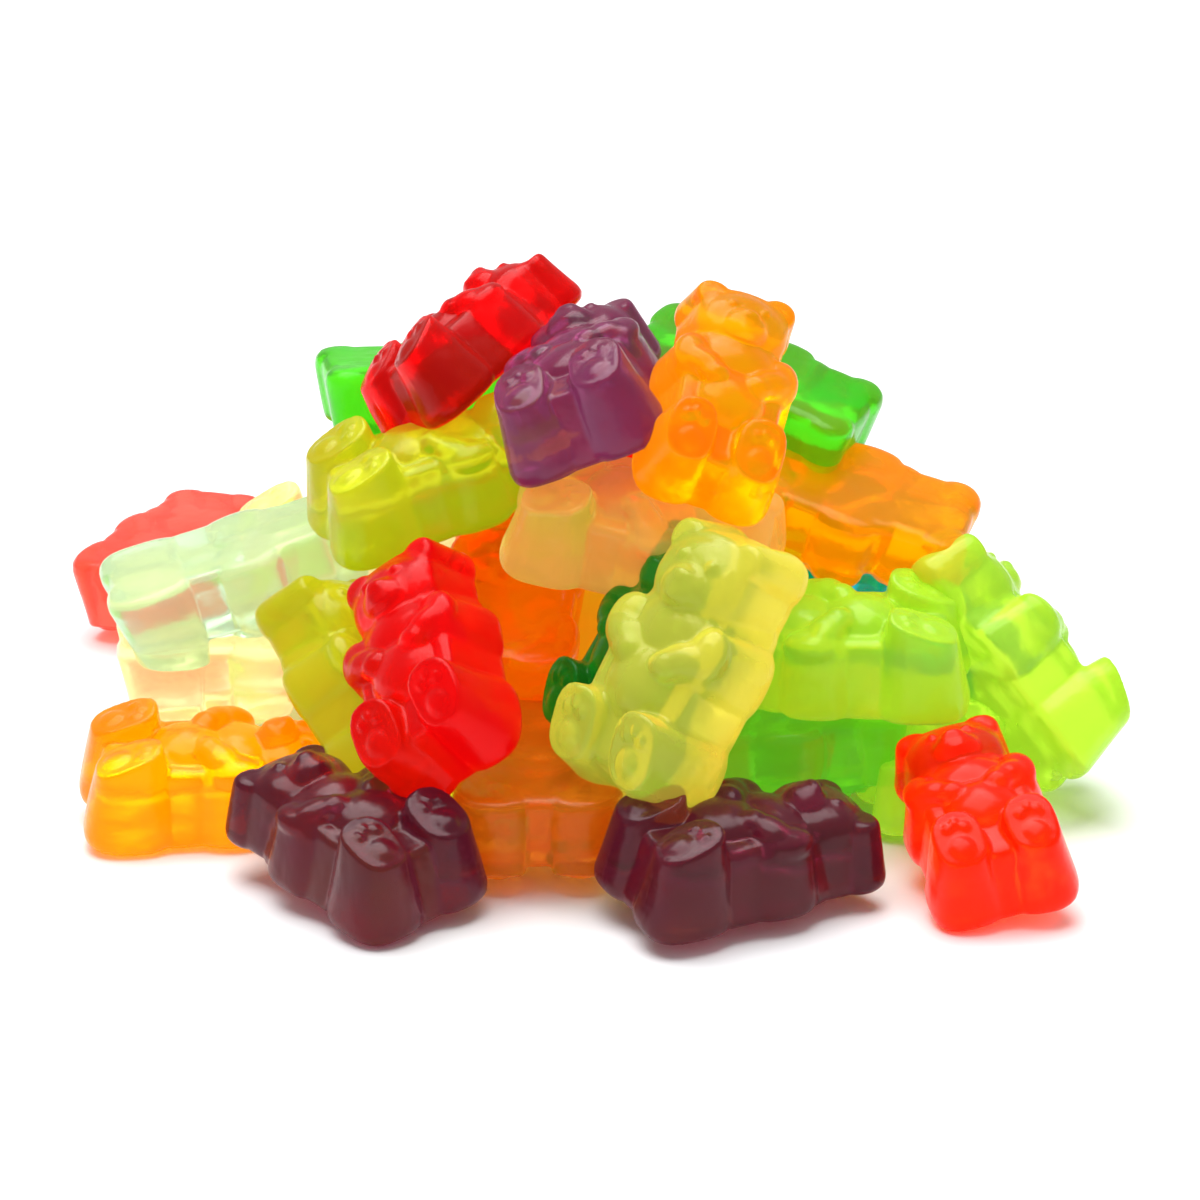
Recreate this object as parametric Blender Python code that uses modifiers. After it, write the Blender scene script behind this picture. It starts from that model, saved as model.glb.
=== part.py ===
"""A loose heap of gummy bears as it lies on a table, fused into one solid.

Metres, +Z up. The heap stands on z = 0 with its middle over the origin, and -Y is its front.
One bear is shaped lying on its back, head towards +Y and face up, and is then laid many times
over a plain core that stays hidden inside the heap.
"""
import math

import bmesh
import bpy
from mathutils import Euler, Matrix, Vector

MM = 0.001

# One bear, in millimetres. A block is (middle x, middle y, half width, half length, height).
TORSO = (0.0, -1.9, 4.6, 6.9, 6.3)
NECK = (0.0, 3.0, 4.1, 2.8, 5.6)
HEAD = (0.0, 6.1, 4.1, 3.5, 6.0)
EAR = (2.9, 8.4, 1.55, 1.45, 5.8)
SHOULDER = (3.95, 0.9, 1.55, 2.3, 6.1)
HIPS = (0.0, -6.4, 3.4, 2.6, 5.2)
LEG = (3.1, -6.9, 2.15, 2.65, 7.5)
SOLE_TILT = 18.0
LEG_DRAFT = 1.3
WIDE_DRAFT = 1.3
DRAFT = 0.9
BACK_ROUND = 1.3
RIM_ROUND = 0.9
SOLE_ROUND = 0.3
BLOCK_SIDES = 24
SQUARENESS = 2.6
# A swelling is (middle, half size, turn in degrees).
BELLY = ((0.0, -2.2, 6.1), (3.0, 2.9, 1.6), (0, 0, 0))
CHEST = ((0.0, 1.8, 5.8), (3.2, 2.6, 1.4), (0, 0, 0))
FACE = ((0.0, 5.8, 5.6), (3.8, 3.2, 1.5), (0, 0, 0))
MUZZLE = ((0.0, 5.0, 6.3), (2.1, 1.8, 1.75), (0, 0, 0))
ARM = ((3.1, 0.3, 6.5), (2.1, 1.35, 1.1), (0, 12, 26))
PAW = ((1.95, -0.6, 6.95), (1.3, 1.15, 0.95), (0, 0, 0))
BEAR_MIDDLE = Vector((0.0, -0.2, 3.7))
FUSE_VOXEL = 0.4
SOFTEN_STEPS = 3
BEAR_TRIANGLES = 232

# The hidden core: a blunt cone on the table.
CORE_AT = (0.0, 12.0)
CORE_FOOT = (19.0, 18.0)
CORE_TOP = (6.0, 6.0)
CORE_HEIGHT = 25.0
CORE_SIDES = 20

# Where each bear lies: x, y, height of its middle (mm), heading of its head on the table, lift of
# its head, roll about its length (degrees, 0 is face up) and size against the usual bear.
HEAP_MIDDLE = Vector((-1.5, 8.6, 0.0))
FRONT_ROW = (
    (-18.5, -21.0, 5.4, 132, 8, -6, 0.97),
    (10.6, -23.6, 5.3, 28, 0, 8, 0.98),
    (28.2, -19.5, 6.2, 103, 16, -12, 0.90),
    (-29.8, -7.2, 4.5, 8, 0, 8, 1.00),
    (-4.6, -12.0, 4.9, 90, 1, 179, 1.00),
)
LEANING_ROW = (
    (-13.5, -13.5, 15.8, 102, 28, -45, 0.97),
    (5.6, -17.5, 17.3, 36, 56, 8, 1.06),
    (-17.5, -7.0, 11.3, 124, 36, 25, 0.97),
    (18.0, -4.5, 14.0, 175, 0, -8, 1.02),
    (32.2, 0.0, 11.3, 156, 48, 50, 1.00),
    (13.0, -4.5, 5.2, 3, 3, 180, 1.00),
    (26.0, -0.5, 4.0, 270, 1, 1, 1.00),
    (22.0, 9.0, 11.2, 315, -14, 0, 1.00),
    (3.9, -10.0, 16.0, 36, 52, -5, 0.93),
)
LEFT_SIDE = (
    (-29.0, 14.0, 12.4, 10, 16, 180, 1.00),
    (-28.5, 15.0, 4.9, 5, 0, 181, 1.00),
    (-19.0, 21.5, 14.0, 20, 10, 0, 1.00),
    (-36.2, 38.8, 4.3, 67, 4, 178, 0.90),
    (-12.7, 6.0, 4.2, 84, 1, 2, 1.00),
)
UPPER_ROW = (
    (-12.5, 5.5, 25.0, 18, 14, 5, 1.00),
    (3.5, -2.5, 23.3, 352, -10, 25, 1.00),
    (18.5, 6.0, 20.8, 348, -15, 193, 1.00),
    (-5.5, 6.5, 12.5, 80, 20, 180, 1.00),
    (4.5, 11.0, 25.2, 88, -8, 5, 1.00),
    (-11.7, 18.5, 26.4, 190, 0, 185, 1.00),
    (11.3, 13.5, 27.7, 335, -14, 186, 0.98),
)
TOP = (
    (-1.5, 1.0, 33.5, 86, 5, -22, 0.97),
    (9.5, -3.0, 33.7, 78, 36, 25, 0.89),
    (-10.4, 12.0, 33.0, 52, 19, -37, 0.88),
)
BACK = (
    (-8.2, 37.0, 4.4, 205, 1, 4, 1.00),
    (9.0, 38.3, 4.1, 120, 1, 2, 1.00),
    (20.0, 29.0, 5.2, 55, 1, 181, 1.00),
    (-22.0, 33.0, 5.0, 140, 1, 179, 1.00),
    (1.0, 26.0, 12.5, 170, -4, -25, 1.00),
    (16.0, 20.0, 12.5, 105, -18, 10, 1.00),
    (3.0, 17.0, 21.0, 15, 5, 170, 1.00),
)
ROWS = (FRONT_ROW, LEANING_ROW, LEFT_SIDE, UPPER_ROW, TOP, BACK)


def add_block(bm, block, side, draft, rim_round, tilt=0.0):
    """One lobe of the bear: a squarish drum that widens down to its flat back."""
    x, y, half_width, half_length, height = block
    made = bmesh.ops.create_cone(
        bm, cap_ends=True, segments=BLOCK_SIDES, radius1=1.0, radius2=1.0, depth=1.0
    )
    faces = {face for vert in made["verts"] for face in vert.link_faces}
    for vert in made["verts"]:
        on_top = vert.co.z > 0
        grow = 0.0 if on_top else draft
        corner = (abs(vert.co.x) ** SQUARENESS + abs(vert.co.y) ** SQUARENESS) ** (-1 / SQUARENESS)
        along = vert.co.y * corner * (half_length + grow)
        vert.co.x = vert.co.x * corner * (half_width + grow) + side * x
        vert.co.y = along + y
        vert.co.z = height + along * math.tan(math.radians(tilt)) if on_top else 0.0
    edges = {edge for face in faces for edge in face.edges}
    rim = [edge for edge in edges if all(vert.co.z > height / 2 for vert in edge.verts)]
    foot = [edge for edge in edges if all(vert.co.z < BACK_ROUND / 2 for vert in edge.verts)]
    for ring, width in ((rim, rim_round), (foot, BACK_ROUND)):
        bmesh.ops.bevel(
            bm, geom=ring, offset=width, segments=2, profile=0.5,
            affect="EDGES", clamp_overlap=True, material=-1,
        )


def add_swelling(bm, swelling, side=1):
    """A soft bump of the relief, mirrored to the bear's other side when side is -1."""
    (x, y, z), half_size, (turn_x, turn_y, turn_z) = swelling
    turn = Euler([math.radians(angle) for angle in (turn_x, side * turn_y, side * turn_z)])
    place = Matrix.Translation((side * x, y, z)) @ turn.to_matrix().to_4x4()
    bmesh.ops.create_uvsphere(
        bm, u_segments=16, v_segments=10, radius=1.0,
        matrix=place @ Matrix.Diagonal((*half_size, 1.0)),
    )


def bear_lumps():
    """The bear's blocks and swellings, still overlapping, in millimetres."""
    bm = bmesh.new()
    add_block(bm, TORSO, 1, WIDE_DRAFT, RIM_ROUND)
    add_block(bm, NECK, 1, WIDE_DRAFT, RIM_ROUND)
    add_block(bm, HEAD, 1, DRAFT, RIM_ROUND)
    add_block(bm, HIPS, 1, LEG_DRAFT, RIM_ROUND)
    for swelling in (BELLY, CHEST, FACE, MUZZLE):
        add_swelling(bm, swelling)
    for side in (-1, 1):
        add_block(bm, EAR, side, DRAFT, RIM_ROUND)
        add_block(bm, SHOULDER, side, DRAFT, RIM_ROUND)
        add_block(bm, LEG, side, LEG_DRAFT, SOLE_ROUND, SOLE_TILT)
        add_swelling(bm, ARM, side)
        add_swelling(bm, PAW, side)
    return bm


def evaluated_mesh(owner):
    """The owner's mesh with its modifiers applied."""
    depsgraph = bpy.context.evaluated_depsgraph_get()
    return bpy.data.meshes.new_from_object(owner.evaluated_get(depsgraph))


def bear_mesh():
    """One closed bear with few sides, its middle at the origin, in millimetres."""
    bm = bear_lumps()
    bmesh.ops.translate(bm, verts=bm.verts, vec=-BEAR_MIDDLE)
    lumps = bpy.data.meshes.new("bear_lumps")
    bm.to_mesh(lumps)
    bm.free()
    bear = bpy.data.objects.new("bear_lumps", lumps)
    bpy.context.scene.collection.objects.link(bear)
    fuse = bear.modifiers.new("fuse", "REMESH")
    fuse.mode = "VOXEL"
    fuse.voxel_size = FUSE_VOXEL
    soften = bear.modifiers.new("soften", "SMOOTH")
    soften.iterations = SOFTEN_STEPS
    bear.data = evaluated_mesh(bear)
    bear.modifiers.clear()
    few_sides = bear.modifiers.new("few_sides", "DECIMATE")
    few_sides.ratio = BEAR_TRIANGLES / sum(len(face.vertices) - 2 for face in bear.data.polygons)
    mesh = evaluated_mesh(bear)
    bpy.data.objects.remove(bear)
    return mesh


def lying(place):
    """The matrix that lays a bear, in metres."""
    x, y, height, heading, lift, roll, size = place
    turn = Euler((math.radians(lift), math.radians(roll), math.radians(heading - 90)), "YXZ")
    at = (Vector((x, y, height)) - HEAP_MIDDLE) * MM
    return Matrix.Translation(at) @ turn.to_matrix().to_4x4() @ Matrix.Scale(size * MM, 4)


def core_object(material):
    """The blunt cone that every bear is fused to, straight or through its neighbours."""
    bm = bmesh.new()
    made = bmesh.ops.create_cone(
        bm, cap_ends=True, segments=CORE_SIDES, radius1=1.0, radius2=1.0, depth=1.0
    )
    for vert in made["verts"]:
        on_top = vert.co.z > 0
        wide, long = CORE_TOP if on_top else CORE_FOOT
        vert.co.x = (vert.co.x * wide + CORE_AT[0] - HEAP_MIDDLE.x) * MM
        vert.co.y = (vert.co.y * long + CORE_AT[1] - HEAP_MIDDLE.y) * MM
        vert.co.z = CORE_HEIGHT * MM if on_top else 0.0
    mesh = bpy.data.meshes.new("gummy_bear_heap")
    bm.to_mesh(mesh)
    bm.free()
    mesh.materials.append(material)
    return bpy.data.objects.new("gummy_bear_heap", mesh)


def keep_outer_skin(mesh):
    """Drops sealed hollows and loose scraps: only the largest connected skin stays."""
    bm = bmesh.new()
    bm.from_mesh(mesh)
    left = set(bm.verts)
    skins = []
    while left:
        skin = set()
        reach = [left.pop()]
        while reach:
            vert = reach.pop()
            skin.add(vert)
            near = {edge.other_vert(vert) for edge in vert.link_edges} & left
            left -= near
            reach.extend(near)
        skins.append(skin)
    outer = max(skins, key=len)
    bmesh.ops.delete(bm, geom=[vert for vert in bm.verts if vert not in outer], context="VERTS")
    bmesh.ops.triangulate(bm, faces=bm.faces)
    bm.to_mesh(mesh)
    bm.free()


def gelatine():
    """Clear sweet gelatine, in the heap's middle colour."""
    material = bpy.data.materials.new("gelatine")
    material.use_nodes = True
    shader = material.node_tree.nodes["Principled BSDF"]
    shader.inputs["Base Color"].default_value = (0.85, 0.45, 0.08, 1.0)
    shader.inputs["Roughness"].default_value = 0.3
    shader.inputs["Metallic"].default_value = 0.0
    return material


for old in list(bpy.data.objects):
    bpy.data.objects.remove(old)
parts = bpy.data.collections.new("gummy_bears")
bears = bpy.data.collections.new("bears")
for collection in (parts, bears):
    bpy.context.scene.collection.children.link(collection)

heap = core_object(gelatine())
parts.objects.link(heap)
master = bear_mesh()
for row in ROWS:
    for place in row:
        bear = bpy.data.objects.new("bear", master.copy())
        bear.data.transform(lying(place))
        bears.objects.link(bear)

join = heap.modifiers.new("join", "BOOLEAN")
join.operation = "UNION"
join.operand_type = "COLLECTION"
join.collection = bears
join.solver = "EXACT"
heap.data = evaluated_mesh(heap)
heap.modifiers.clear()
for bear in list(bears.objects):
    bpy.data.objects.remove(bear)
bpy.data.collections.remove(bears)
keep_outer_skin(heap.data)
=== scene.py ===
"""A loose heap of gummy bears, as poured on a table: clear coloured gelatine in many flavours.

Metres, +Z up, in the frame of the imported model: the heap stands on z = 0 and its front is -Y.
Bears are shaped and laid in millimetres, and turned to metres as each one is laid.
"""
import math
import random

import bmesh
import bpy
from mathutils import Euler, Matrix, Vector, noise


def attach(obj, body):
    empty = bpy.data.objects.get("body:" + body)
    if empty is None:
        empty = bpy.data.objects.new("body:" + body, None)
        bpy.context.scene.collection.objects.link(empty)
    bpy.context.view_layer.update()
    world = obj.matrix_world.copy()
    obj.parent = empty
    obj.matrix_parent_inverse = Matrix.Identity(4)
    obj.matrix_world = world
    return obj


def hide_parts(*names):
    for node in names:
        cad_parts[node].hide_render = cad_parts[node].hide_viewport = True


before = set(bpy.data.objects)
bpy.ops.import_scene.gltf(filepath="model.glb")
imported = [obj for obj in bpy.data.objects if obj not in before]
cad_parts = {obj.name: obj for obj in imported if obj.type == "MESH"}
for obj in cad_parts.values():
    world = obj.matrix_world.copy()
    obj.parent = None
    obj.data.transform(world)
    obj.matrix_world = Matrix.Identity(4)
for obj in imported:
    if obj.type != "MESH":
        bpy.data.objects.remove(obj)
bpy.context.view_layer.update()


# The camera stands in front of the heap and a little above it, with a long lens, so that bears
# in front and behind are nearly the same size. Its aim is in millimetres, in the heap's frame.
MM = 0.001
CAMERA_AIM = Vector((1.5, -8.6, 16.0))
CAMERA_RISE = 20.5
CAMERA_DISTANCE = 420.0
CAMERA_LENS = 162.5
CAMERA_SENSOR = 36.0
CAMERA_NEAR = 0.01

camera_data = bpy.data.cameras.new("camera")
camera_data.lens = CAMERA_LENS
camera_data.sensor_width = CAMERA_SENSOR
camera_data.clip_start = CAMERA_NEAR
camera = bpy.data.objects.new("camera", camera_data)
bpy.context.scene.collection.objects.link(camera)
rise = math.radians(CAMERA_RISE)
back_off = Vector((0.0, -math.cos(rise), math.sin(rise))) * CAMERA_DISTANCE
camera.location = (CAMERA_AIM + back_off) * MM
camera.rotation_euler = (math.pi / 2 - rise, 0.0, 0.0)
bpy.context.scene.camera = camera


# The red bears: clear cherry gelatine, poured into a bear-shaped hollow and left to set, which
# gives each a flat back, drafted sides, softened edges and a raised face, paws and soles.
# They lie loose, face up or leaning on others, and are held by nothing but their weight.
# A block is (middle x, middle y, half width, half length, height) of a bear lying on its back.
TORSO = (0.0, -1.9, 4.6, 6.9, 6.3)
NECK = (0.0, 3.0, 4.1, 2.8, 5.6)
HEAD = (0.0, 6.1, 4.1, 3.5, 6.0)
EAR = (2.9, 8.4, 1.55, 1.45, 5.8)
SHOULDER = (3.95, 0.9, 1.55, 2.3, 6.1)
HIPS = (0.0, -6.4, 3.4, 2.6, 5.2)
LEG = (3.1, -6.9, 2.15, 2.65, 7.5)
SOLE_TILT = 18.0
LEG_DRAFT = 1.3
WIDE_DRAFT = 1.3
DRAFT = 0.9
BACK_ROUND = 1.3
RIM_ROUND = 0.9
EAR_ROUND = 0.6
SOLE_ROUND = 0.3
BLOCK_SIDES = 32
EDGE_STEPS = 3
ROUND_PROFILE = 0.5
SQUARENESS = 2.6
EAR_SQUARENESS = 2.2
# A swelling is (middle, half size, turn in degrees).
BELLY = ((0.0, -2.2, 6.1), (3.0, 2.9, 1.6), (0, 0, 0))
CHEST = ((0.0, 1.8, 5.8), (3.2, 2.6, 1.4), (0, 0, 0))
FACE = ((0.0, 5.8, 5.6), (3.8, 3.2, 1.5), (0, 0, 0))
MUZZLE = ((0.0, 5.0, 6.3), (2.1, 1.8, 1.75), (0, 0, 0))
NOSE = ((0.0, 5.6, 7.75), (0.95, 0.65, 0.45), (0, 0, 0))
MOUTH = ((0.0, 4.2, 7.55), (0.9, 0.5, 0.4), (0, 0, 0))
EYE = ((1.5, 7.0, 6.75), (0.5, 0.5, 0.4), (0, 0, 0))
UPPER_ARM = ((4.0, 1.2, 5.8), (1.7, 2.2, 1.2), (0, 0, 0))
ARM = ((3.1, 0.3, 6.5), (2.1, 1.35, 1.1), (0, 12, 26))
PAW = ((1.95, -0.6, 6.95), (1.3, 1.15, 0.95), (0, 0, 0))
SOLE_PAD = ((3.1, -7.9, 7.1), (1.1, 1.15, 0.42), (20, 0, 0))
TOES = (
    ((2.35, -6.0, 7.75), (0.36, 0.5, 0.35), (20, 0, 0)),
    ((3.1, -5.6, 7.9), (0.36, 0.5, 0.35), (20, 0, 0)),
    ((3.85, -6.0, 7.75), (0.36, 0.5, 0.35), (20, 0, 0)),
)
SWELLING_SIDES = 24
SWELLING_RINGS = 16
BEAR_MIDDLE = Vector((0.0, -0.2, 3.7))
BEAR_HALF_LENGTH = 11.0
FUSE_VOXEL = 0.22
SOFTEN_STEPS = 3
BEAR_TRIANGLES = 15000
# No two bears set quite alike: how much they differ in size, twist (degrees) and skin.
UNEVEN_SIZE = 0.02
UNEVEN_TWIST = 3.0
UNEVEN_SKIN = 0.12
SKIN_DENTS = 0.28
SKIN_SEEDS = 100.0
UNEVEN_SEED = 36
HEAP_MIDDLE = Vector((-1.5, 8.6, 0.0))
# A place is x, y, height of the bear's middle (mm), heading of its head on the table, lift of
# its head, roll about its length (degrees, 0 is face up) and size against the usual bear.
RED_PLACES = (
    (-10.4, 12.0, 33.0, 52, 19, -37, 0.88),
    (-13.5, -13.5, 15.8, 102, 28, -45, 0.97),
    (4.5, 11.0, 25.2, 88, -8, 5, 1.00),
    (1.0, 26.0, 12.5, 170, -4, -25, 1.00),
)
RED = (0.88, 0.004, 0.004)
RED_CLOUD = (0.78, 0.0, 0.002)
# Clouds tint the gelatine, ripples are soft waves of its skin, and starch is the fine bloom that
# the moulding leaves. Their scales are per metre, and the skin's depth is in metres.
CLOUD_SCALE = 170.0
CLOUD_DETAIL = 3.0
CLOUD_CONTRAST = 1.6
CLOUD_SHIFT = 0.3
RIPPLE_SCALE = 420.0
STARCH_SCALE = 3200.0
SKIN_DETAIL = 2.0
SKIN_STRENGTH = 0.35
SKIN_DEPTH = 0.0004
STARCH_HEIGHT = 0.04
LEAST_ROUGHNESS = 0.18
RIPPLE_ROUGHNESS = 0.08
STARCH_ROUGHNESS = 0.03
GELATINE_IOR = 1.4
CLEAR = 0.8
# How strongly the gelatine glows in its own tint: a painted glow that stands in for light
# scattered inside it.
PAINTED_GLOW = 0.16
WHITE_SHINE = 0.35

uneven = random.Random(UNEVEN_SEED)
noise.seed_set(UNEVEN_SEED)


def add_block(bm, block, side, draft, rim_round, square=SQUARENESS, tilt=0.0):
    """One lobe of the bear: a squarish drum that widens down to its flat back."""
    x, y, half_width, half_length, height = block
    made = bmesh.ops.create_cone(
        bm, cap_ends=True, segments=BLOCK_SIDES, radius1=1.0, radius2=1.0, depth=1.0
    )
    faces = {face for vert in made["verts"] for face in vert.link_faces}
    for vert in made["verts"]:
        on_top = vert.co.z > 0
        grow = 0.0 if on_top else draft
        corner = (abs(vert.co.x) ** square + abs(vert.co.y) ** square) ** (-1 / square)
        along = vert.co.y * corner * (half_length + grow)
        vert.co.x = vert.co.x * corner * (half_width + grow) + side * x
        vert.co.y = along + y
        vert.co.z = height + along * math.tan(math.radians(tilt)) if on_top else 0.0
    edges = {edge for face in faces for edge in face.edges}
    rim = [edge for edge in edges if all(vert.co.z > height / 2 for vert in edge.verts)]
    foot = [edge for edge in edges if all(vert.co.z < BACK_ROUND / 2 for vert in edge.verts)]
    for ring, width in ((rim, rim_round), (foot, BACK_ROUND)):
        bmesh.ops.bevel(
            bm, geom=ring, offset=width, segments=EDGE_STEPS, profile=ROUND_PROFILE,
            affect="EDGES", clamp_overlap=True, material=-1,
        )


def add_swelling(bm, swelling, side=1):
    """A soft bump of the relief, mirrored to the bear's other side when side is -1."""
    (x, y, z), half_size, (turn_x, turn_y, turn_z) = swelling
    turn = Euler([math.radians(angle) for angle in (turn_x, side * turn_y, side * turn_z)])
    place = Matrix.Translation((side * x, y, z)) @ turn.to_matrix().to_4x4()
    bmesh.ops.create_uvsphere(
        bm, u_segments=SWELLING_SIDES, v_segments=SWELLING_RINGS, radius=1.0,
        matrix=place @ Matrix.Diagonal((*half_size, 1.0)),
    )


def bear_lumps():
    """The bear's blocks and swellings, still overlapping, around its own middle."""
    bm = bmesh.new()
    add_block(bm, TORSO, 1, WIDE_DRAFT, RIM_ROUND)
    add_block(bm, NECK, 1, WIDE_DRAFT, RIM_ROUND)
    add_block(bm, HEAD, 1, DRAFT, RIM_ROUND)
    add_block(bm, HIPS, 1, LEG_DRAFT, RIM_ROUND)
    for swelling in (BELLY, CHEST, FACE, MUZZLE, NOSE, MOUTH):
        add_swelling(bm, swelling)
    for side in (-1, 1):
        add_block(bm, EAR, side, DRAFT, EAR_ROUND, EAR_SQUARENESS)
        add_block(bm, SHOULDER, side, DRAFT, RIM_ROUND)
        add_block(bm, LEG, side, LEG_DRAFT, SOLE_ROUND, tilt=SOLE_TILT)
        for swelling in (EYE, UPPER_ARM, ARM, PAW, SOLE_PAD, *TOES):
            add_swelling(bm, swelling, side)
    bmesh.ops.translate(bm, verts=bm.verts, vec=-BEAR_MIDDLE)
    return bm


def evaluated_mesh(owner):
    """The owner's mesh with its modifiers applied."""
    depsgraph = bpy.context.evaluated_depsgraph_get()
    return bpy.data.meshes.new_from_object(owner.evaluated_get(depsgraph))


def cast_bear():
    """One bear as it leaves its hollow: the lumps run together and the edges softened."""
    bm = bear_lumps()
    lumps = bpy.data.meshes.new("bear_lumps")
    bm.to_mesh(lumps)
    bm.free()
    cast = bpy.data.objects.new("bear_lumps", lumps)
    bpy.context.scene.collection.objects.link(cast)
    fuse = cast.modifiers.new("fuse", "REMESH")
    fuse.mode = "VOXEL"
    fuse.voxel_size = FUSE_VOXEL
    soften = cast.modifiers.new("soften", "SMOOTH")
    soften.iterations = SOFTEN_STEPS
    cast.data = evaluated_mesh(cast)
    cast.modifiers.clear()
    few_sides = cast.modifiers.new("few_sides", "DECIMATE")
    few_sides.ratio = BEAR_TRIANGLES / sum(len(face.vertices) - 2 for face in cast.data.polygons)
    mesh = evaluated_mesh(cast)
    bpy.data.objects.remove(cast)
    return mesh


master_bear = cast_bear()


def lay_bear(bm, place):
    """Adds one bear at its place, a little uneven in size, twist and skin."""
    x, y, height, heading, lift, roll, size = place
    first = len(bm.verts)
    bm.from_mesh(master_bear)
    bm.verts.ensure_lookup_table()
    twist = uneven.uniform(-UNEVEN_TWIST, UNEVEN_TWIST)
    stretch = Vector([1 + uneven.uniform(-UNEVEN_SIZE, UNEVEN_SIZE) for _ in range(3)])
    seed = Vector([uneven.uniform(0.0, SKIN_SEEDS) for _ in range(3)])
    turn = Euler((math.radians(lift), math.radians(roll), math.radians(heading - 90)), "YXZ")
    at = (Vector((x, y, height)) - HEAP_MIDDLE) * MM
    laid = Matrix.Translation(at) @ turn.to_matrix().to_4x4() @ Matrix.Scale(size * MM, 4)
    for vert in bm.verts[first:]:
        along = vert.co.y / BEAR_HALF_LENGTH
        spot = Matrix.Rotation(math.radians(twist * along), 3, "Y") @ (vert.co * stretch)
        spot += UNEVEN_SKIN * noise.noise_vector(vert.co * SKIN_DENTS + seed)
        vert.co = laid @ spot


class Shade:
    """An output of a material's node; + - and * signs between them add Math nodes."""

    def __init__(self, tree, socket=None):
        self.tree = tree
        self.socket = socket

    def node(self, kind, settings, sockets, output=0):
        """Adds a node: its settings first, then the values or links of its sockets."""
        made = self.tree.nodes.new(kind)
        for name, value in settings.items():
            setattr(made, name, value)
        for name, value in sockets.items():
            if isinstance(value, Shade):
                self.tree.links.new(value.socket, made.inputs[name])
            else:
                made.inputs[name].default_value = value
        return Shade(self.tree, made.outputs[output]) if made.outputs else None

    def sum(self, operation, first, second):
        return self.node("ShaderNodeMath", {"operation": operation}, {0: first, 1: second})

    def __add__(self, other):
        return self.sum("ADD", self, other)

    def __radd__(self, other):
        return self.sum("ADD", other, self)

    def __sub__(self, other):
        return self.sum("SUBTRACT", self, other)

    def __rsub__(self, other):
        return self.sum("SUBTRACT", other, self)

    def __mul__(self, other):
        return self.sum("MULTIPLY", self, other)

    def __rmul__(self, other):
        return self.sum("MULTIPLY", other, self)


def gelatine(name, colour, cloud_colour, clear=CLEAR, painted_glow=PAINTED_GLOW, white_shine=WHITE_SHINE):
    """Clear sweet gelatine: tinted all through, faintly clouded, with a soft starch bloom, and a
    painted glow of its own tint that stands in for light scattered inside it.
    """
    material = bpy.data.materials.new(name)
    material.use_nodes = True
    tree = material.node_tree
    tree.nodes.clear()
    sweet = Shade(tree)
    place = sweet.node("ShaderNodeTexCoord", {}, {}, "Object")
    cloud, ripple, starch = (
        sweet.node(
            "ShaderNodeTexNoise", {}, {"Vector": place, "Scale": scale, "Detail": detail}, "Fac"
        )
        for scale, detail in (
            (CLOUD_SCALE, CLOUD_DETAIL), (RIPPLE_SCALE, SKIN_DETAIL), (STARCH_SCALE, SKIN_DETAIL)
        )
    )
    tint = sweet.node(
        "ShaderNodeMix",
        {"data_type": "RGBA"},
        {
            "Factor": cloud * CLOUD_CONTRAST - CLOUD_SHIFT,
            "A": (*colour, 1.0),
            "B": (*cloud_colour, 1.0),
        },
        "Result",
    )
    skin = sweet.node(
        "ShaderNodeBump",
        {},
        {
            "Strength": SKIN_STRENGTH,
            "Distance": SKIN_DEPTH,
            "Height": ripple + starch * STARCH_HEIGHT,
        },
    )
    surface = sweet.node("ShaderNodeBsdfPrincipled", {}, {
        "Base Color": tint,
        "Roughness": LEAST_ROUGHNESS + ripple * RIPPLE_ROUGHNESS + starch * STARCH_ROUGHNESS,
        "Normal": skin,
        "IOR": GELATINE_IOR,
        "Specular Tint": (*(white_shine + (1 - white_shine) * part for part in colour), 1.0),
        "Transmission Weight": clear,
        # Painted glow: the gelatine gives off light in its own tint, standing in for light
        # scattered inside it.
        "Emission Color": tint,
        "Emission Strength": painted_glow,
    })
    sweet.node("ShaderNodeOutputMaterial", {}, {"Surface": surface})
    return material


def bears(name, places, material):
    """Lays all the bears of one flavour as one piece."""
    bm = bmesh.new()
    for place in places:
        lay_bear(bm, place)
    mesh = bpy.data.meshes.new(name)
    bm.to_mesh(mesh)
    bm.free()
    mesh.shade_smooth()
    mesh.materials.append(material)
    piece = bpy.data.objects.new(name, mesh)
    bpy.context.scene.collection.objects.link(piece)
    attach(piece, "root")
    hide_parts("gummy_bear_heap")


bears("red_bears", RED_PLACES, gelatine("red", RED, RED_CLOUD, white_shine=0.25))


# The scarlet bear: strawberry gelatine with a little orange in it, which lets more light through
# than the cherry. It lies on its back at the right front, with its soles to the front.
SCARLET_PLACES = (
    (28.2, -19.5, 6.2, 103, 16, -12, 0.90),
)
SCARLET = (1.0, 0.035, 0.002)
SCARLET_CLOUD = (0.95, 0.02, 0.001)

bears(
    "scarlet_bear", SCARLET_PLACES,
    gelatine("scarlet", SCARLET, SCARLET_CLOUD, white_shine=0.25),
)


# The pink bear: a paler red gelatine with more water in it. It lies face down on the table behind
# the left end of the heap, so that only its rounded back and one flank show.
PINK_PLACES = (
    (-36.2, 38.8, 4.6, 67, 3, 178, 0.90),
)
PINK = (0.95, 0.12, 0.08)
PINK_CLOUD = (0.9, 0.10, 0.06)

bears("pink_bear", PINK_PLACES, gelatine("pink", PINK, PINK_CLOUD, painted_glow=0.2))


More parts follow.
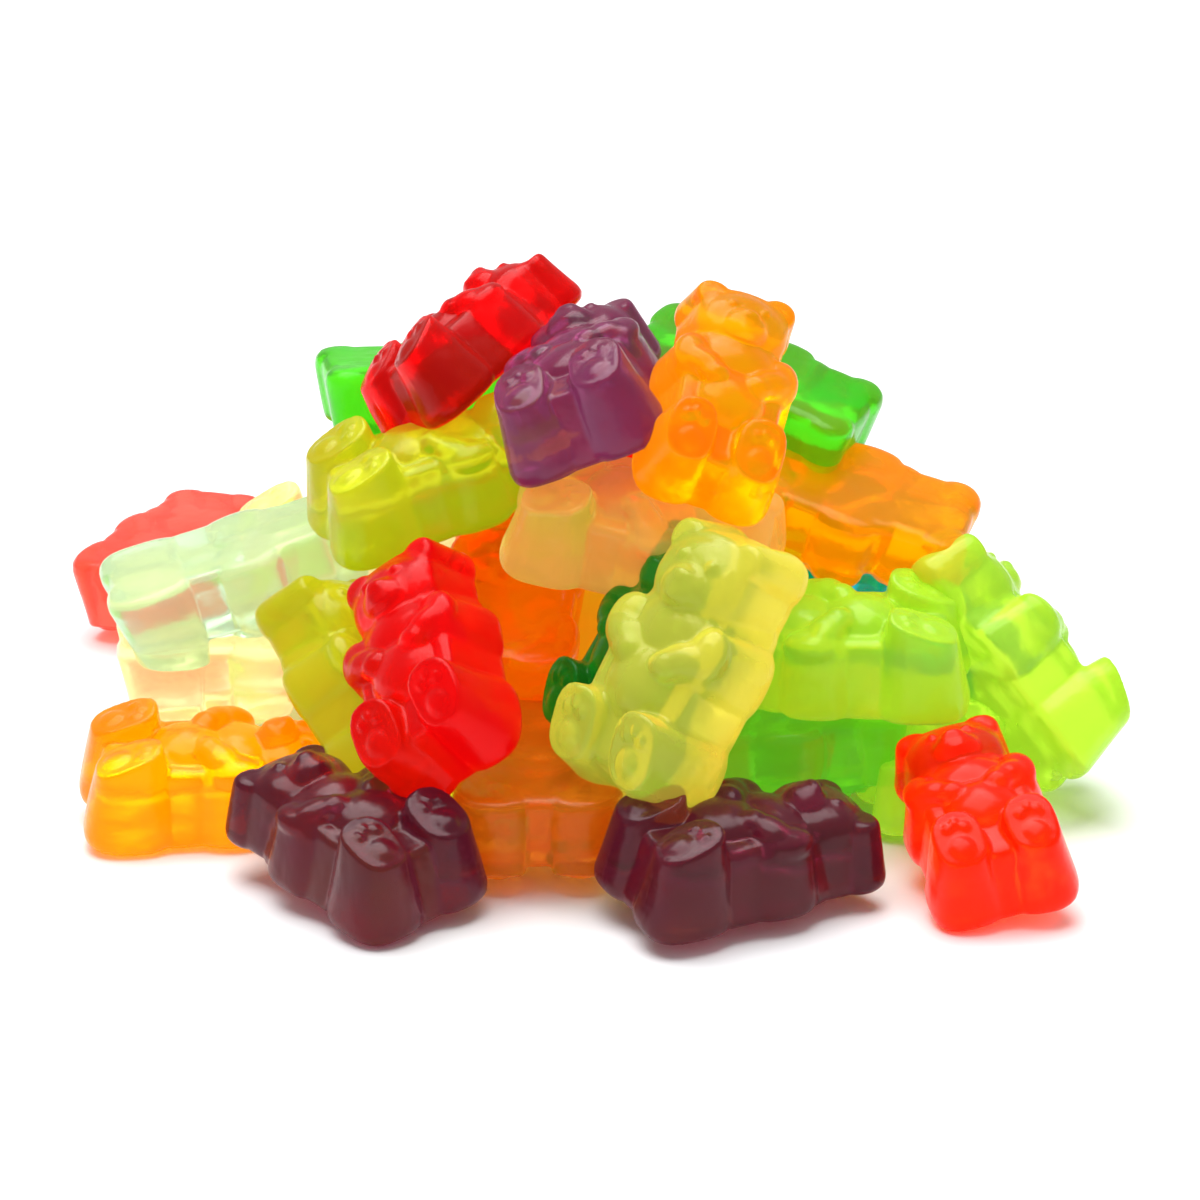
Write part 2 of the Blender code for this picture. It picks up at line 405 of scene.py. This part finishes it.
# The orange bears: orange gelatine, the commonest flavour here. One sits against the top of the
# heap, one lies at the left front, one lies face down at the right, and two are at the back.
ORANGE_PLACES = (
    (9.5, -3.0, 33.7, 78, 36, 25, 0.89),
    (-29.8, -7.2, 4.5, 8, 0, 8, 1.00),
    (18.5, 6.0, 20.8, 348, -15, 193, 1.00),
    (9.0, 38.3, 4.1, 120, 1, 2, 1.00),
    (3.0, 17.0, 21.0, 15, 5, 170, 1.00),
)
ORANGE = (1.0, 0.37, 0.0)
ORANGE_CLOUD = (0.98, 0.29, 0.0)

bears(
    "orange_bears", ORANGE_PLACES,
    gelatine("orange", ORANGE, ORANGE_CLOUD, painted_glow=0.2, white_shine=0.2),
)


# The tangerine bear: deep orange gelatine. It lies face down in the middle of the heap, under
# the others, and shows between the red bear and the lemon one.
TANGERINE_PLACES = (
    (-7.2, 6.5, 12.5, 86, 20, 180, 1.00),
)
TANGERINE = (0.90, 0.19, 0.0)
TANGERINE_CLOUD = (0.82, 0.16, 0.0)

bears(
    "tangerine_bear", TANGERINE_PLACES,
    gelatine("tangerine", TANGERINE, TANGERINE_CLOUD, painted_glow=0.18),
)


# The apricot bear: brownish orange gelatine. It lies face down on the table between the two
# purple bears, with its head under the heap.
APRICOT_PLACES = (
    (-4.6, -12.0, 4.9, 90, 1, 179, 1.00),
)
APRICOT = (0.82, 0.25, 0.01)
APRICOT_CLOUD = (0.76, 0.22, 0.008)

bears("apricot_bear", APRICOT_PLACES, gelatine("apricot", APRICOT, APRICOT_CLOUD, painted_glow=0.08))


# The peach bear: pale straw gelatine that takes on the orange of its neighbours. It lies across
# the heap on its side, under the violet bear and the orange one.
PEACH_PLACES = (
    (3.5, -2.5, 23.3, 352, -10, 25, 1.00),
)
PEACH = (0.90, 0.68, 0.15)
PEACH_CLOUD = (0.86, 0.60, 0.13)

bears("peach_bear", PEACH_PLACES, gelatine("peach", PEACH, PEACH_CLOUD, clear=0.65))


# The lemon bear: pale yellow gelatine, the clearest of all. It leans on the heap at the front
# with its feet on a purple bear, and shows its face, both paws and both soles.
LEMON_PLACES = (
    (5.6, -17.5, 17.3, 36, 56, 8, 1.06),
)
LEMON = (0.92, 0.82, 0.10)
LEMON_CLOUD = (0.88, 0.80, 0.08)

bears("lemon_bear", LEMON_PLACES, gelatine("lemon", LEMON, LEMON_CLOUD, clear=0.7))


# The pear bears: yellow gelatine with a touch of green. One lies on its back high on the left,
# one leans behind the red bear, and one lies on the table under them.
PEAR_PLACES = (
    (-17.5, -7.0, 11.3, 124, 36, 25, 0.97),
    (-12.5, 5.5, 25.0, 18, 14, 5, 1.00),
    (-12.7, 6.0, 4.2, 84, 1, 2, 1.00),
)
PEAR = (0.62, 0.68, 0.015)
PEAR_CLOUD = (0.60, 0.60, 0.015)

bears("pear_bears", PEAR_PLACES, gelatine("pear", PEAR, PEAR_CLOUD, clear=0.7, painted_glow=0.14))


# The lime bears: light green gelatine with much yellow in it. Three lie on each other at the
# right of the heap, and two lie face down on the table at the back.
LIME_PLACES = (
    (18.0, -4.5, 14.0, 175, 0, -8, 1.02),
    (32.2, 0.0, 11.3, 156, 48, 50, 1.00),
    (26.0, -0.5, 4.0, 270, 1, 1, 1.00),
    (20.0, 29.0, 5.2, 55, 1, 181, 1.00),
    (-22.0, 33.0, 5.0, 140, 1, 179, 1.00),
)
LIME = (0.58, 0.86, 0.05)
LIME_CLOUD = (0.50, 0.80, 0.04)

bears("lime_bears", LIME_PLACES, gelatine("lime", LIME, LIME_CLOUD, clear=0.6))


# The green bears: bright apple gelatine. Two lie face down near the top of the heap, one at each
# side, and one leans on the back.
GREEN_PLACES = (
    (-11.7, 18.5, 26.4, 190, 0, 185, 1.00),
    (11.3, 13.5, 27.7, 335, -14, 186, 0.98),
    (16.0, 20.0, 12.5, 105, -18, 10, 1.00),
)
GREEN = (0.10, 0.66, 0.01)
GREEN_CLOUD = (0.06, 0.60, 0.01)

bears("green_bears", GREEN_PLACES, gelatine("green", GREEN, GREEN_CLOUD))


# The fern bear: a softer green gelatine. It lies face down on the table at the right, and the
# lime bears lie on it.
FERN_PLACES = (
    (13.0, -4.5, 5.2, 3, 3, 180, 1.00),
)
FERN = (0.22, 0.68, 0.035)
FERN_CLOUD = (0.18, 0.60, 0.03)

bears("fern_bear", FERN_PLACES, gelatine("fern", FERN, FERN_CLOUD, painted_glow=0.18))


# The green bear in shade: a green gelatine bear coloured dark green as painted shade for the
# shadow it lies in. It leans behind the lemon bear, and only one ear, one shoulder and one foot
# show beside it.
GREEN_IN_SHADE_PLACES = (
    (3.9, -10.0, 16.0, 36, 52, -5, 0.93),
)
# Painted shade: the green darkened for the shadow behind the lemon bear, not a darker gelatine.
GREEN_IN_SHADE = (0.01, 0.28, 0.02)
GREEN_IN_SHADE_CLOUD = (0.01, 0.22, 0.02)

bears("green_bear_in_shade", GREEN_IN_SHADE_PLACES, gelatine("green_in_shade", GREEN_IN_SHADE, GREEN_IN_SHADE_CLOUD, painted_glow=0.1))


# The teal bear: blue-green gelatine. It lies on its back inside the right of the heap, and
# shows only through the gaps between the lime bears.
TEAL_PLACES = (
    (22.0, 9.0, 11.2, 315, -14, 0, 1.00),
)
TEAL = (0.0, 0.42, 0.55)
TEAL_CLOUD = (0.0, 0.38, 0.5)

bears("teal_bear", TEAL_PLACES, gelatine("teal", TEAL, TEAL_CLOUD))


# The purple bears: blackcurrant gelatine, the darkest flavour, so its top edges shine palest.
# Two lie on their backs at the front with their soles to the left and right, and one is behind.
PURPLE_PLACES = (
    (-18.5, -21.0, 5.4, 132, 8, -6, 0.97),
    (10.6, -23.6, 5.3, 28, 0, 8, 0.98),
    (-8.2, 37.0, 4.4, 205, 1, 4, 1.00),
)
PURPLE = (0.19, 0.02, 0.045)
PURPLE_CLOUD = (0.14, 0.012, 0.035)

bears(
    "purple_bears", PURPLE_PLACES,
    gelatine("purple", PURPLE, PURPLE_CLOUD, clear=0.85, painted_glow=0.1, white_shine=0.6),
)


# The violet bear: grape gelatine, lighter than the blackcurrant. It lies on its back on top of
# the heap with its soles and the deep walls of its legs to the front.
VIOLET_PLACES = (
    (-1.5, 1.0, 33.5, 86, 5, -22, 0.97),
)
VIOLET = (0.30, 0.05, 0.15)
VIOLET_CLOUD = (0.22, 0.03, 0.11)

bears(
    "violet_bear", VIOLET_PLACES,
    gelatine("violet", VIOLET, VIOLET_CLOUD, painted_glow=0.13, white_shine=0.8),
)


# The cream bears: nearly colourless pineapple gelatine. One lies face down on the table at the
# left, under the mint bear, and one lies behind them.
CREAM_PLACES = (
    (-28.5, 15.0, 4.9, 5, 0, 181, 1.00),
    (-19.0, 21.5, 14.0, 20, 10, 0, 1.00),
)
CREAM = (0.98, 0.86, 0.46)
CREAM_CLOUD = (0.96, 0.82, 0.42)

bears("cream_bears", CREAM_PLACES, gelatine("cream", CREAM, CREAM_CLOUD, painted_glow=0.18))


# The mint bear: the palest green gelatine, almost clear. It lies face down on the cream bear at
# the left, so that its smooth back shows and the light passes through its flank.
MINT_PLACES = (
    (-29.0, 14.0, 12.4, 10, 16, 180, 1.00),
)
MINT = (0.62, 0.82, 0.58)
MINT_CLOUD = (0.58, 0.80, 0.56)

bears("mint_bear", MINT_PLACES, gelatine("mint", MINT, MINT_CLOUD, painted_glow=0.12))


# The middle of the heap: the bears that nothing shows, run together into one blunt cone of
# amber gelatine that stands on the table and carries the bears around it.
CORE_AT = (0.0, 12.0)
CORE_FOOT = (14.0, 13.0)
CORE_TOP = (4.5, 4.5)
CORE_HEIGHT = 15.0
CORE_ROUND = 2.0
CORE_SIDES = 40
CORE_EDGE_STEPS = 4
AMBER = (1.0, 0.35, 0.01)
AMBER_CLOUD = (0.7, 0.6, 0.02)

bm = bmesh.new()
made = bmesh.ops.create_cone(
    bm, cap_ends=True, segments=CORE_SIDES, radius1=1.0, radius2=1.0, depth=1.0
)
for vert in made["verts"]:
    on_top = vert.co.z > 0
    wide, long = CORE_TOP if on_top else CORE_FOOT
    vert.co.x = (vert.co.x * wide + CORE_AT[0] - HEAP_MIDDLE.x) * MM
    vert.co.y = (vert.co.y * long + CORE_AT[1] - HEAP_MIDDLE.y) * MM
    vert.co.z = CORE_HEIGHT * MM if on_top else 0.0
bmesh.ops.bevel(
    bm, geom=bm.edges[:], offset=CORE_ROUND * MM, segments=CORE_EDGE_STEPS, profile=ROUND_PROFILE,
    affect="EDGES", clamp_overlap=True, material=-1,
)
mesh = bpy.data.meshes.new("heap_middle")
bm.to_mesh(mesh)
bm.free()
mesh.shade_smooth()
mesh.materials.append(gelatine("amber", AMBER, AMBER_CLOUD, clear=0.7, painted_glow=0.2))
core = bpy.data.objects.new("heap_middle", mesh)
bpy.context.scene.collection.objects.link(core)
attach(core, "root")
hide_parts("gummy_bear_heap")


# The table: a plain sheet of matt white paper, just under the heap's foot and so wide that
# nothing beyond it shows.
TABLE_HALF_WIDTH = 6.0
TABLE_DROP = 0.0001
PAPER = (0.92, 0.925, 0.94, 1.0)
PAPER_ROUGHNESS = 0.6

bm = bmesh.new()
bmesh.ops.create_grid(bm, x_segments=1, y_segments=1, size=TABLE_HALF_WIDTH)
bmesh.ops.translate(bm, verts=bm.verts, vec=(0.0, 0.0, -TABLE_DROP))
mesh = bpy.data.meshes.new("table")
bm.to_mesh(mesh)
bm.free()
table = bpy.data.objects.new("table", mesh)
bpy.context.scene.collection.objects.link(table)
paper = bpy.data.materials.new("white_paper")
paper.use_nodes = True
sheet = paper.node_tree.nodes["Principled BSDF"]
sheet.inputs["Base Color"].default_value = PAPER
sheet.inputs["Roughness"].default_value = PAPER_ROUGHNESS
mesh.materials.append(paper)


# The light: one wide softbox high over the heap, a little to the left and behind it, and a
# plain white room around it. Clear sweets need many bounces to carry light through the heap.
SOFTBOX_AT = Vector((-0.05, 0.05, 0.5))
SOFTBOX_AIM = Vector((0.0, 0.0, 0.01))
SOFTBOX_WIDTH = 0.5
SOFTBOX_POWER = 4.2
ROOM_STRENGTH = 0.45
BOUNCES = 8
BOUNCES_THROUGH = 6

softbox_data = bpy.data.lights.new("softbox", "AREA")
softbox_data.shape = "SQUARE"
softbox_data.size = SOFTBOX_WIDTH
softbox_data.energy = SOFTBOX_POWER
softbox = bpy.data.objects.new("softbox", softbox_data)
softbox.location = SOFTBOX_AT
softbox.rotation_euler = (SOFTBOX_AT - SOFTBOX_AIM).to_track_quat("Z", "Y").to_euler()
bpy.context.scene.collection.objects.link(softbox)
room = bpy.data.worlds.new("room")
room.use_nodes = True
room.node_tree.nodes["Background"].inputs["Color"].default_value = (1.0, 1.0, 1.0, 1.0)
room.node_tree.nodes["Background"].inputs["Strength"].default_value = ROOM_STRENGTH
bpy.context.scene.world = room
bpy.context.scene.view_settings.view_transform = "Standard"
bpy.context.scene.cycles.max_bounces = BOUNCES
bpy.context.scene.cycles.transmission_bounces = BOUNCES_THROUGH
